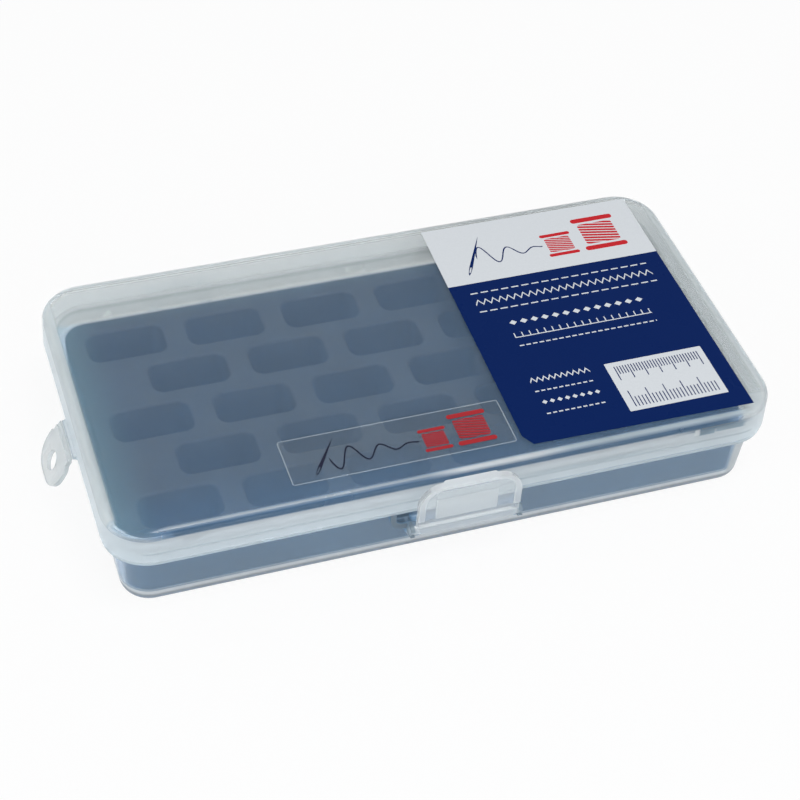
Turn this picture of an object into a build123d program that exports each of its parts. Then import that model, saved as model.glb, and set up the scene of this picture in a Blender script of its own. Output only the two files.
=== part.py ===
from build123d import *
import os
from math import cos, radians, sin, tan

# Thread spool storage box: a low clear box with a hinged lid, a snap latch on its front,
# a fold-out hang tab on its left end and a foam insert with staggered slots for spools.
# Millimetres, +X to the right end, +Y to the hinge side, +Z up.
# The origin is the centre of the base's underside, on the surface that the box stands on.

os.makedirs("parts", exist_ok=True)

# ---------------------------------------------------------------- driving dimensions

# outer size of the closed box
box_length = 180.0
box_depth = 95.0
box_height = 30.0
corner_radius = 12.0

# base: a tub whose walls lean out towards a rim flange, with an upstand above the flange
wall = 1.2
floor = 1.4
foot_inset = 4.4
wall_draft = 4.4
foot_radius = 3.0
flange_top = 19.6
flange_thickness = 1.0
flange_setback = 0.3
flange_edge_radius = 0.3
rim_height = 3.9
rim_edge_radius = 0.35
rim_notch_out = 68.7
rim_notch_width = 5.4
rim_notch_depth = 1.2

# lid: a flat panel with a skirt that stands on the flange
lid_gap = 0.2
lid_wall = 1.4
lid_panel = 1.4
lid_draft = 2.0
lid_edge_radius = 2.0
lid_inner_radius = 0.8
lid_foot_radius = 0.5

# hinge: two knuckles on the lid, each between two lugs on the base
hinge_spacing = 100.0
hinge_axis_out = 2.8
hinge_axis_z = 18.2
knuckle_length = 12.0
knuckle_radius = 2.0
hinge_pin_radius = 1.2
hinge_pin_gap = 0.08
hinge_mouth = 2.0
hinge_side_gap = 0.3
hinge_lug_width = 2.2
hinge_lug_radius = 2.15
hinge_lug_foot = 9.5
hinge_lug_head = 17.4
knuckle_arm_low = 20.8
knuckle_arm_high = 23.4

# latch: a plate with an arched rib, turning on two stub pins between lugs on the base,
# with its middle a little right of the box's middle
latch_x = 1.6
latch_width = 27.6
latch_axis_z = 13.2
latch_barrel_radius = 1.5
latch_pin_radius = 1.1
latch_pin_gap = 0.08
latch_mouth = 1.8
latch_side_gap = 0.3
latch_plate = 1.1
latch_top = 29.5
latch_arch_radius = 6.5
latch_foot_slant = 1.2
latch_foot_rise = 2.2
latch_foot_bend = 2.0
arch_rib_width = 1.8
arch_rib_top = 1.2
arch_rib_height = 0.6
arch_rib_foot = 18.0
arch_rib_edge = 0.3
lip_width = 14.6
lip_reach = 0.65
lip_thickness = 1.0
lip_corner = 0.9
latch_lug_width = 1.0
latch_lug_radius = 1.8
latch_lug_foot = 9.0

# catch: a pad on the lid's front with a ridge along its top, and the latch's bead over it
catch_width = 16.5
catch_low = 16.0
catch_high = 26.4
catch_proud = 0.7
ridge_height = 1.4
ridge_proud = 0.6
latch_clearance = 0.3
bead_width = 15.5
bead_gap = 0.3
bead_height = 1.2
bead_bite = 0.6
bead_lead_in = 0.25

# guard: a rib round the latch's lower end, under the flange
guard_width = 36.2
guard_low = 12.5
guard_rib = 1.5
guard_radius = 3.5
guard_setback = 0.5

# hang tab: a holed tongue on a thin hinge strip at the left end
tab_width = 16.0
tab_length = 12.6
tab_plate = 1.2
tab_corner = 6.0
tab_shoulder = 2.0
tab_neck_width = 14.0
tab_neck = 2.6
tab_strip = 1.1
tab_hole_radius = 2.75
tab_hole_out = 7.6
tab_hang_angle = 61.0
tab_axis_out = 1.2
tab_root_radius = 0.3
tab_root_gap = 0.06
tab_ledge_radius = 1.0

# foam insert with its staggered slots
foam_gap = 0.3
foam_top = 19.6
slot_length = 21.0
slot_width = 11.0
slot_radius = 3.0
slot_pitch_x = 27.4
slot_pitch_y = 15.4
slots_in_long_row = 6
slot_rows = 5

# printed label and clear sticker on the lid
film = 0.12
label_length = 62.5
label_side_margin = 3.5
label_right_margin = 7.6
label_skew = 1.1
label_cut_along = 2.0
label_cut_deep = 3.4
sticker_length = 59.4
sticker_depth = 15.5
sticker_label_gap = 2.8
sticker_front_margin = 6.7
sticker_radius = 0.8

# ---------------------------------------------------------------- derived places

half_length = box_length / 2
half_depth = box_depth / 2
rim_top = flange_top + rim_height
flange_low = flange_top - flange_thickness
lid_low = flange_top + lid_gap
foot_length = box_length - 2 * foot_inset
foot_depth = box_depth - 2 * foot_inset
foot_corner = corner_radius - foot_inset
flange_length = box_length - 2 * flange_setback
flange_depth = box_depth - 2 * flange_setback
flange_corner = corner_radius - flange_setback
flange_edge = half_depth - flange_setback


def wall_inset(z):
    """Distance of the tub's outer wall behind the box's outer size, at height z."""
    return foot_inset - z * tan(radians(wall_draft))


# hinge and latch
hinge_axis_y = half_depth + hinge_axis_out
hinge_places = (-hinge_spacing / 2, hinge_spacing / 2)
hinge_bore_radius = hinge_pin_radius + hinge_pin_gap
catch_face = half_depth + catch_proud
ridge_face = catch_face + ridge_proud
latch_inner_face = ridge_face + latch_clearance
latch_outer_face = latch_inner_face + latch_plate
latch_axis_y = -(latch_outer_face - latch_barrel_radius)
latch_bore_radius = latch_pin_radius + latch_pin_gap
latch_lug_inner = latch_width / 2 + latch_side_gap
latch_root_y = half_depth - wall_inset(latch_lug_foot) - wall / 4
hinge_root_y = half_depth - wall_inset(hinge_lug_foot) - wall / 4

# hang tab: its hinge strip turns about a line just outside the ledge's end
tab_axis_x = -(half_length + tab_axis_out)
tab_axis_z = flange_top - flange_thickness / 2
ledge_end = tab_axis_x + tab_root_radius + tab_root_gap

# foam insert
foam_low = floor + foam_gap
foam_inset = wall_inset(floor) + wall + foam_gap
foam_length = box_length - 2 * foam_inset
foam_depth = box_depth - 2 * foam_inset
foam_corner = corner_radius - foam_inset
foam_edge_radius = foot_radius - wall

# printed pieces: the sheet's left and front edges run a little out of square
label_right = half_length - label_right_margin
label_left = label_right - label_length
label_back = half_depth - label_side_margin
label_corner_x = label_left - label_skew
label_corner_y = label_skew - label_back
sticker_x = label_left - sticker_label_gap - sticker_length / 2
sticker_y = sticker_front_margin + sticker_depth / 2 - half_depth


# ---------------------------------------------------------------- base

with BuildPart() as base:
    # tub with its walls leaning out
    with BuildSketch(Plane.XY):
        RectangleRounded(foot_length, foot_depth, foot_corner)
    extrude(amount=rim_top, taper=-wall_draft)
    fillet(base.faces().sort_by(Axis.Z)[0].edges(), foot_radius)

    # hollow of the tub, with the same lean, and its rounded corner on the floor
    hollow_inset = wall_inset(floor) + wall
    with BuildSketch(Plane.XY.offset(floor)):
        RectangleRounded(
            box_length - 2 * hollow_inset,
            box_depth - 2 * hollow_inset,
            corner_radius - hollow_inset,
        )
    extrude(amount=rim_top - floor, taper=-wall_draft, mode=Mode.SUBTRACT)
    floor_edges = base.edges().filter_by_position(Axis.Z, floor, floor)
    fillet(floor_edges, foot_radius - wall)
    fillet(base.faces().sort_by(Axis.Z)[-1].edges(), rim_edge_radius)

    # two notches in the front of the rim
    rim_middle = half_depth - wall_inset(rim_top) - wall / 2
    with BuildSketch(Plane.XY.offset(rim_top - rim_notch_depth)):
        with Locations((-rim_notch_out, -rim_middle), (rim_notch_out, -rim_middle)):
            Rectangle(rim_notch_width, 2 * wall)
    extrude(amount=rim_notch_depth, mode=Mode.SUBTRACT)

    # flange that carries the lid's skirt, with a ledge for the hang tab at its left end,
    # both rooted half way into the wall
    ring_inset = wall_inset(flange_low) + wall / 2
    flange_end = -flange_length / 2
    with BuildSketch(Plane.XY.offset(flange_low)) as flange:
        RectangleRounded(flange_length, flange_depth, flange_corner)
        with Locations((ledge_end, 0)):
            Rectangle(
                flange_end - ledge_end + flange_corner,
                tab_neck_width,
                align=(Align.MIN, Align.CENTER),
            )
        ledge_corners = flange.vertices().group_by(Axis.X)[1].sort_by_distance((flange_end, 0))[:2]
        fillet(ledge_corners, tab_ledge_radius)
        RectangleRounded(
            box_length - 2 * ring_inset,
            box_depth - 2 * ring_inset,
            corner_radius - ring_inset,
            mode=Mode.SUBTRACT,
        )
    extrude(amount=flange_thickness)
    level_faces = base.faces().filter_by(Axis.Z).group_by(Axis.Z)
    flange_under, flange_upper = level_faces[2][0], level_faces[3][0]
    flange_edges = flange_under.outer_wire().edges() + flange_upper.outer_wire().edges()
    fillet(flange_edges, flange_edge_radius)

    # guard rib round the latch's lower end
    with BuildSketch(Plane.XZ.offset(latch_root_y)):
        with BuildLine():
            guard_x = (guard_width - guard_rib) / 2
            guard_z = guard_low + guard_rib / 2
            FilletPolyline(
                (-guard_x, flange_low + flange_thickness / 2),
                (-guard_x, guard_z),
                (guard_x, guard_z),
                (guard_x, flange_low + flange_thickness / 2),
                radius=guard_radius - guard_rib / 2,
            )
        trace(line_width=guard_rib)
    extrude(amount=flange_edge - guard_setback - latch_root_y)

    # latch lugs: rounded gussets with an open snap mouth for the pins
    for side in (-1, 1):
        lug_start = latch_x + (latch_lug_inner if side > 0 else -latch_lug_inner - latch_lug_width)
        with BuildSketch(Plane.YZ.offset(lug_start)):
            with Locations((latch_axis_y, latch_axis_z)):
                Circle(latch_lug_radius)
            with Locations((-latch_root_y, (latch_lug_foot + latch_axis_z) / 2)):
                Rectangle(wall / 4, latch_axis_z - latch_lug_foot)
            make_hull()
            with Locations((latch_axis_y, latch_axis_z)):
                Circle(latch_bore_radius, mode=Mode.SUBTRACT)
                Rectangle(
                    2 * latch_lug_radius,
                    latch_mouth,
                    align=(Align.MAX, Align.CENTER),
                    mode=Mode.SUBTRACT,
                )
        extrude(amount=latch_lug_width)

    # hinge lugs, two round each knuckle, with an open snap mouth for the pins
    for hinge_x in hinge_places:
        for side in (-1, 1):
            lug_inner = knuckle_length / 2 + hinge_side_gap
            lug_start = hinge_x + (lug_inner if side > 0 else -lug_inner - hinge_lug_width)
            with BuildSketch(Plane.YZ.offset(lug_start)):
                with Locations((hinge_axis_y, hinge_axis_z)):
                    Circle(hinge_lug_radius)
                with Locations((hinge_root_y, (hinge_lug_foot + hinge_lug_head) / 2)):
                    Rectangle(wall / 4, hinge_lug_head - hinge_lug_foot)
                make_hull()
                with Locations((hinge_axis_y, hinge_axis_z)):
                    Circle(hinge_bore_radius, mode=Mode.SUBTRACT)
                    Rectangle(
                        2 * hinge_lug_radius,
                        hinge_mouth,
                        align=(Align.MIN, Align.CENTER),
                        mode=Mode.SUBTRACT,
                    )
            extrude(amount=hinge_lug_width)

base.part.label = "base"
export_step(base.part, "parts/base.step")


# ---------------------------------------------------------------- lid

lid_top_inset = (box_height - lid_low) * tan(radians(lid_draft))
lid_inner_height = box_height - lid_panel - lid_low

with BuildPart() as lid:
    # panel and skirt, narrowing a little towards the top
    with BuildSketch(Plane.XY.offset(lid_low)):
        RectangleRounded(box_length, box_depth, corner_radius)
    extrude(amount=box_height - lid_low, taper=lid_draft)
    fillet(lid.faces().sort_by(Axis.Z)[-1].edges(), lid_edge_radius)
    fillet(lid.faces().sort_by(Axis.Z)[0].edges(), lid_foot_radius)
    with BuildSketch(Plane.XY.offset(lid_low)):
        RectangleRounded(
            box_length - 2 * lid_wall,
            box_depth - 2 * lid_wall,
            corner_radius - lid_wall,
        )
    extrude(amount=lid_inner_height, taper=lid_draft, mode=Mode.SUBTRACT)
    panel_edges = lid.edges().filter_by_position(
        Axis.Z, lid_low + lid_inner_height, lid_low + lid_inner_height
    )
    fillet(panel_edges, lid_inner_radius)

    # catch: pad, tongue below the skirt and the ridge that the latch's bead holds
    pad_root = half_depth - lid_wall / 2
    with BuildSketch(Plane.YZ.offset(latch_x - catch_width / 2)):
        with BuildLine():
            Polyline(
                (-pad_root, lid_low),
                (-half_depth, lid_low),
                (-half_depth, catch_low),
                (-catch_face, catch_low),
                (-catch_face, catch_high - ridge_height - ridge_proud),
                (-ridge_face, catch_high - ridge_height),
                (-ridge_face, catch_high - ridge_proud / 3),
                (-ridge_face + ridge_proud / 3, catch_high),
                (-pad_root, catch_high),
                close=True,
            )
        make_face()
    extrude(amount=catch_width)

    # knuckles with their arms, then the stub pins on both ends
    for hinge_x in hinge_places:
        with BuildSketch(Plane.YZ.offset(hinge_x - knuckle_length / 2)):
            with Locations((hinge_axis_y, hinge_axis_z)):
                Circle(knuckle_radius)
            with Locations((half_depth - lid_wall / 2, (knuckle_arm_low + knuckle_arm_high) / 2)):
                Rectangle(lid_wall / 4, knuckle_arm_high - knuckle_arm_low)
            make_hull()
        extrude(amount=knuckle_length)
        pin_span = knuckle_length + 2 * hinge_lug_width
        with BuildSketch(Plane.YZ.offset(hinge_x - pin_span / 2)):
            with Locations((hinge_axis_y, hinge_axis_z)):
                Circle(hinge_pin_radius)
        extrude(amount=pin_span)

lid.part.label = "lid"
export_step(lid.part, "parts/lid.step")


# ---------------------------------------------------------------- latch

latch_barrel_length = latch_width - 2 * latch_foot_slant
latch_pin_span = 2 * (latch_lug_inner + latch_lug_width)
bead_low = catch_high + bead_gap
bead_face = ridge_face - bead_bite


def arched_outline(side_inset=0, top_inset=0, mode=Mode.ADD):
    """Face of the latch's plate above its pins, with its sides and its top moved in."""
    half = latch_width / 2 - side_inset
    foot_half = half - latch_foot_slant
    top = latch_top - top_inset
    arch = latch_arch_radius - side_inset
    with BuildLine() as outline:
        FilletPolyline(
            (latch_x - foot_half, latch_axis_z),
            (latch_x - half, latch_axis_z + latch_foot_rise),
            (latch_x - half, top),
            (latch_x + half, top),
            (latch_x + half, latch_axis_z + latch_foot_rise),
            (latch_x + foot_half, latch_axis_z),
            radius=(latch_foot_bend, arch, arch, latch_foot_bend),
        )
        Line((latch_x + foot_half, latch_axis_z), (latch_x - foot_half, latch_axis_z))
    make_face(outline.edges(), mode=mode)


with BuildPart() as latch:
    # plate with rounded shoulders and a foot that narrows towards the pins
    with BuildSketch(Plane.XZ.offset(latch_inner_face)):
        arched_outline()
    extrude(amount=latch_plate)

    # arched rib along the sides and the top, on the outer face
    with BuildSketch(Plane.XZ.offset(latch_outer_face)):
        arched_outline()
        arched_outline(arch_rib_width, arch_rib_top, mode=Mode.SUBTRACT)
        with Locations((latch_x, arch_rib_foot)):
            Rectangle(
                latch_width,
                arch_rib_foot - latch_axis_z,
                align=(Align.CENTER, Align.MAX),
                mode=Mode.SUBTRACT,
            )
    extrude(amount=arch_rib_height)
    fillet(latch.faces().sort_by(Axis.Y)[0].edges(), arch_rib_edge)

    # barrel along the foot, with a stub pin on each end
    with BuildSketch(Plane.YZ.offset(latch_x - latch_barrel_length / 2)):
        with Locations((latch_axis_y, latch_axis_z)):
            Circle(latch_barrel_radius)
    extrude(amount=latch_barrel_length)
    with BuildSketch(Plane.YZ.offset(latch_x - latch_pin_span / 2)):
        with Locations((latch_axis_y, latch_axis_z)):
            Circle(latch_pin_radius)
    extrude(amount=latch_pin_span)

    # bead that snaps over the ridge of the lid's catch
    with BuildSketch(Plane.YZ.offset(latch_x - bead_width / 2)):
        with BuildLine():
            Polyline(
                (-latch_inner_face - latch_plate / 2, bead_low),
                (-bead_face - bead_lead_in, bead_low),
                (-bead_face, bead_low + bead_lead_in),
                (-bead_face, bead_low + bead_height / 2),
                (-latch_inner_face, bead_low + bead_height),
                (-latch_inner_face - latch_plate / 2, bead_low + bead_height),
                close=True,
            )
        make_face()
    extrude(amount=bead_width)

    # lip along the top, reaching in over the catch
    with BuildSketch(Plane.XY.offset(latch_top - lip_thickness)) as lip:
        with Locations((latch_x, -latch_inner_face - latch_plate / 2)):
            Rectangle(
                lip_width,
                lip_reach + latch_plate / 2,
                align=(Align.CENTER, Align.MIN),
            )
        fillet(lip.vertices().group_by(Axis.Y)[-1], lip_corner)
    extrude(amount=lip_thickness)

latch.part.label = "latch"
export_step(latch.part, "parts/latch.step")


# ---------------------------------------------------------------- hang tab

tab_lean = radians(tab_hang_angle)
tab_plane = Plane(
    origin=(tab_axis_x, 0, tab_axis_z),
    x_dir=(-cos(tab_lean), 0, -sin(tab_lean)),
    z_dir=(sin(tab_lean), 0, -cos(tab_lean)),
)

with BuildPart() as hang_tab:
    # thin strip that bends, with a round root beside the ledge
    with BuildSketch(tab_plane):
        Rectangle(tab_neck, tab_neck_width, align=(Align.MIN, Align.CENTER))
    extrude(amount=tab_root_radius, both=True)
    with BuildSketch(Plane.XZ.offset(-tab_neck_width / 2)):
        with Locations((tab_axis_x, tab_axis_z)):
            Circle(tab_root_radius)
    extrude(amount=tab_neck_width)

    # tongue with its round end and the hole for a peg
    with BuildSketch(tab_plane):
        with Locations((tab_strip, 0)):
            Rectangle(tab_neck, tab_neck_width, align=(Align.MIN, Align.CENTER))
        tongue_half = tab_width / 2
        with BuildLine():
            FilletPolyline(
                (tab_length, tongue_half),
                (tab_neck, tongue_half),
                (tab_neck, -tongue_half),
                (tab_length, -tongue_half),
                radius=(tab_corner, tab_shoulder, tab_shoulder, tab_corner),
                close=True,
            )
        make_face()
        with Locations((tab_hole_out, 0)):
            Circle(tab_hole_radius, mode=Mode.SUBTRACT)
    extrude(amount=tab_plate / 2, both=True)

hang_tab.part.label = "hang_tab"
export_step(hang_tab.part, "parts/hang_tab.step")


# ---------------------------------------------------------------- foam insert

long_rows = (slot_rows + 1) // 2
short_rows = slot_rows // 2

with BuildPart() as foam_insert:
    # slab with its lower edge rounded to sit in the tub's corner
    with BuildSketch(Plane.XY.offset(foam_low)):
        RectangleRounded(foam_length, foam_depth, foam_corner)
    extrude(amount=foam_top - foam_low)
    fillet(foam_insert.faces().sort_by(Axis.Z)[0].edges(), foam_edge_radius)

    # staggered slots cut right through, long rows outside and short rows between them
    with BuildSketch(Plane.XY.offset(foam_low)):
        with GridLocations(slot_pitch_x, 2 * slot_pitch_y, slots_in_long_row, long_rows):
            RectangleRounded(slot_length, slot_width, slot_radius)
        with GridLocations(slot_pitch_x, 2 * slot_pitch_y, slots_in_long_row - 1, short_rows):
            RectangleRounded(slot_length, slot_width, slot_radius)
    extrude(amount=foam_top - foam_low, mode=Mode.SUBTRACT)

foam_insert.part.label = "foam_insert"
export_step(foam_insert.part, "parts/foam_insert.step")


# ---------------------------------------------------------------- printed pieces

with BuildPart() as label:
    # printed sheet on the lid's right end, with its front left corner cut off
    with BuildSketch(Plane.XY.offset(box_height)):
        with BuildLine():
            Polyline(
                (label_left, label_back),
                (label_right, label_back),
                (label_right, -label_back),
                (label_corner_x + label_cut_along, label_corner_y),
                (label_corner_x, label_corner_y + label_cut_deep),
                close=True,
            )
        make_face()
    extrude(amount=film)

label.part.label = "label"
export_step(label.part, "parts/label.step")

with BuildPart() as clear_sticker:
    # clear strip on the lid's front half
    with BuildSketch(Plane.XY.offset(box_height)):
        with Locations((sticker_x, sticker_y)):
            RectangleRounded(sticker_length, sticker_depth, sticker_radius)
    extrude(amount=film)

clear_sticker.part.label = "clear_sticker"
export_step(clear_sticker.part, "parts/clear_sticker.step")
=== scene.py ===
"""Looks of the thread spool storage box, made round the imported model.

The clear mouldings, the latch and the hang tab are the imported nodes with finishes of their
own. The foam insert, the printed sheet and the clear strip are new surfaces that stand for
their nodes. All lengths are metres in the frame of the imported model, and sizes that are
read off the object are written in millimetres times MM.
"""

import logging
from collections.abc import Callable
from dataclasses import dataclass
from enum import Enum

import bmesh
import bpy
import numpy as np
from mathutils import Matrix, Vector


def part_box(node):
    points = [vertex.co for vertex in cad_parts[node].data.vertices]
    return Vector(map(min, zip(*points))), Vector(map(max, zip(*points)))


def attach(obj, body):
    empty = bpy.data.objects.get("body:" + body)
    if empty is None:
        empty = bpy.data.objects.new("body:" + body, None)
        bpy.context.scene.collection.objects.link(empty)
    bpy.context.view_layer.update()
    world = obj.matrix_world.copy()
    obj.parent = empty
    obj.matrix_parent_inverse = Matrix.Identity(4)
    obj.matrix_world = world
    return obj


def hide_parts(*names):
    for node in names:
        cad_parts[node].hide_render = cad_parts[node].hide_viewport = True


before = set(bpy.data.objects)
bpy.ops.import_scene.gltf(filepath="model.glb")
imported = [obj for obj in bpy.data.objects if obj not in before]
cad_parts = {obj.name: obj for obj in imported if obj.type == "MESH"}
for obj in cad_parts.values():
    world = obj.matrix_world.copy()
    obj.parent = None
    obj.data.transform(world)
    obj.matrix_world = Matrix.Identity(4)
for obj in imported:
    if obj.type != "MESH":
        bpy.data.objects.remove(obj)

MM = 0.001
# bounds of a zone in millimetres: past every piece, the lid's panel in z, and in y what lies
# in front of the tub's wall by the latch, at the lid's front edge and at its skirt's front
OPEN = 999.0
PANEL = (28.5, OPEN)
LUGS = (-OPEN, -46.2)
FRONT_EDGE = (-OPEN, -46.6)
SKIRT_FRONT = (-OPEN, -46.8)
LOG = logging.getLogger("spool_box")

Socket = bpy.types.NodeSocket
Value = float | Socket
Colour = tuple[float, float, float]
Point = tuple[float, float, float]
Pair = tuple[float, float]
Skin = tuple[np.ndarray, np.ndarray]


class Side(Enum):
    """Which way a row of stitches or ticks grows from its base line."""

    UP = 1.0
    DOWN = -1.0


class End(Enum):
    """Which end of the box a zone lies at, as the sign of x there."""

    LEFT = -1.0
    RIGHT = 1.0
    BOTH = 0.0


# ---------------------------------------------------------------- shader sketching


class Sketch:
    """A material's or the world's node tree, with short calls that add its nodes and join them."""

    def __init__(self, owner: bpy.types.Material | bpy.types.World) -> None:
        """Starts an empty tree on its owner."""
        owner.use_nodes = True
        self.owner, self.tree = owner, owner.node_tree
        self.tree.nodes.clear()

    def node(self, kind: str, **inputs: object) -> bpy.types.Node:
        """Adds a node.

        Args:
            kind: The node's type name.
            **inputs: Values or sockets for its inputs, with underscores for spaces.

        Returns:
            The new node.
        """
        made = self.tree.nodes.new(kind)
        for key, value in inputs.items():
            self.feed(made.inputs[key.replace("_", " ")], value)
        return made

    def shader(self, kind: str, **inputs: object) -> Socket:
        """Adds a node as node does, and gives its first output."""
        return self.node(kind, **inputs).outputs[0]

    def surface(self, **inputs: object) -> Socket:
        """Adds a Principled shader with the given inputs."""
        return self.shader("ShaderNodeBsdfPrincipled", **inputs)

    def feed(self, target: Socket, value: object) -> None:
        """Links a socket to an input, or writes a plain value there."""
        if isinstance(value, bpy.types.NodeSocket):
            self.tree.links.new(value, target)
        elif value is not None:
            target.default_value = value

    def math(self, operation: str, a: Value, b: Value = 0.0, c: Value = 0.0) -> Socket:
        """Adds one arithmetic step.

        Args:
            operation: The Math node's operation.
            a: First value.
            b: Second value, where the operation has one.
            c: Third value, where the operation has one.

        Returns:
            The result's socket.
        """
        step = self.tree.nodes.new("ShaderNodeMath")
        step.operation = operation
        for target, value in zip(step.inputs, (a, b, c)):
            self.feed(target, value)
        return step.outputs[0]

    def place(self) -> tuple[Socket, Socket, Socket]:
        """Gives the point's X, Y and Z on the piece, in millimetres."""
        coordinates = self.node("ShaderNodeTexCoord").outputs["Object"]
        parts = self.node("ShaderNodeSeparateXYZ", Vector=self.scaled(coordinates, 1.0 / MM))
        return parts.outputs[0], parts.outputs[1], parts.outputs[2]

    def scaled(self, vector: Socket | Colour, factor: Value) -> Socket:
        """Multiplies a vector or a colour by one factor."""
        made = self.tree.nodes.new("ShaderNodeVectorMath")
        made.operation = "SCALE"
        self.feed(made.inputs[0], vector)
        self.feed(made.inputs["Scale"], factor)
        return made.outputs[0]

    def noise(self, grain: float, detail: float = 2.0) -> Socket:
        """Adds soft noise from 0 to 1.

        Args:
            grain: Size of its patches in metres.
            detail: Octaves of finer noise.

        Returns:
            The noise's value.
        """
        place = self.node("ShaderNodeTexCoord").outputs["Object"]
        return self.shader("ShaderNodeTexNoise", Vector=place, Scale=1.0 / grain, Detail=detail)

    def uneven(self, noise: Socket, low: float, high: float) -> Socket:
        """Spreads the middle of a noise, where nearly all of it lies, over a range."""
        return self.ramp(noise, 0.3, 0.7, low, high)

    def ramp(self, value: Value, low: float, high: float, start: Value, end: Value) -> Socket:
        """Maps a value from one range to another and holds it at both ends."""
        made = self.node("ShaderNodeMapRange")
        for target, given in zip(made.inputs, (value, low, high, start, end)):
            self.feed(target, given)
        return made.outputs[0]

    def inside(self, value: Socket, low: Value, high: Value) -> Socket:
        """Gives 1 where a value lies between two bounds, and 0 elsewhere."""
        above = self.math("GREATER_THAN", value, low)
        return self.math("MULTIPLY", above, self.under(value, high))

    def under(self, value: Value, bound: Value) -> Socket:
        """Gives 1 where a value is less than its bound, and 0 elsewhere."""
        return self.math("LESS_THAN", value, bound)

    def apart(self, a: Value, b: Value) -> Socket:
        """Gives the distance between two values."""
        return self.math("ABSOLUTE", self.math("SUBTRACT", a, b))

    def both(self, *masks: Socket) -> Socket:
        """Gives 1 where every mask is 1."""
        joined = masks[0]
        for mask in masks[1:]:
            joined = self.math("MULTIPLY", joined, mask)
        return joined

    def outside(self, mask: Socket) -> Socket:
        """Gives 1 where a mask is 0."""
        return self.math("SUBTRACT", 1.0, mask)

    def either(self, *masks: Socket) -> Socket:
        """Gives 1 where at least one mask is 1."""
        joined = masks[0]
        for mask in masks[1:]:
            joined = self.math("MAXIMUM", joined, mask)
        return joined

    def colour_mix(self, share: Value, a: Colour | Socket, b: Colour | Socket) -> Socket:
        """Mixes two colours, from the first at share 0 to the second at share 1."""
        made = self.tree.nodes.new("ShaderNodeMix")
        made.data_type = "RGBA"
        self.feed(made.inputs[0], share)
        for target, colour in ((made.inputs[6], a), (made.inputs[7], b)):
            self.feed(target, (*colour[:3], 1.0) if isinstance(colour, tuple) else colour)
        return made.outputs[2]

    def bump(self, height: Socket, depth: float, strength: float = 1.0) -> Socket:
        """Turns a height from 0 to 1 into a normal, with its full depth in metres."""
        made = self.node("ShaderNodeBump", Strength=strength, Distance=depth, Height=height)
        return made.outputs[0]

    def shader_mix(self, share: Value, a: Socket, b: Socket) -> Socket:
        """Mixes two shaders, from the first at share 0 to the second at share 1."""
        made = self.tree.nodes.new("ShaderNodeMixShader")
        for target, value in zip(made.inputs, (share, a, b)):
            self.feed(target, value)
        return made.outputs[0]

    def seen_share(self) -> Socket:
        """Gives 1 for a ray from the camera, a reflection or through the plastic."""
        path = self.node("ShaderNodeLightPath").outputs
        kinds = ("Is Camera Ray", "Is Glossy Ray", "Is Transmission Ray")
        return self.either(*(path[kind] for kind in kinds))

    def finish(self, surface: Socket) -> bpy.types.Material | bpy.types.World:
        """Joins the surface to the output and gives the tree's owner."""
        world = isinstance(self.owner, bpy.types.World)
        self.node("ShaderNodeOutputWorld" if world else "ShaderNodeOutputMaterial", Surface=surface)
        return self.owner


# ---------------------------------------------------------------- finishes


@dataclass(frozen=True)
class Zone:
    """A part of a moulding with a surface of its own, such as a frosted rim or a milky rib.

    It is a box that reads the distance from the middle towards its end along x, and y and z as they
    are, all in millimetres. Its haze is the share of light that the plastic scatters there. Some
    zones are painted highlights, painted lines of shade or painted reflections. Its ends along x
    soften over the fade, and its other edges over the softening.
    """

    haze: float
    tint: Colour
    roughness: float
    x: Pair = (-OPEN, OPEN)
    y: Pair = (-OPEN, OPEN)
    z: Pair = (-OPEN, OPEN)
    soften: float = 0.5
    fade: float = 1.0
    end: End = End.BOTH

    def mask(self, s: Sketch, out: dict[End, Socket], y: Socket, z: Socket) -> Socket:
        """Gives 1 inside the box, falling to 0 over the softened edge.

        The share is the product of one ramp for each side of the box that is not open.

        Args:
            s: The material's sketch.
            out: The distance from the middle towards each end.
            y: The place along y.
            z: The height.

        Returns:
            The share's socket.
        """
        sides = []
        for value, (low, high), soft in (
            (out[self.end], self.x, self.fade), (y, self.y, self.soften), (z, self.z, self.soften)
        ):
            half = soft / 2
            if low > -OPEN:
                sides.append(s.ramp(value, low - half, low + half, 0.0, 1.0))
            if high < OPEN:
                sides.append(s.ramp(value, high - half, high + half, 1.0, 0.0))
        return s.both(*sides)


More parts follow.
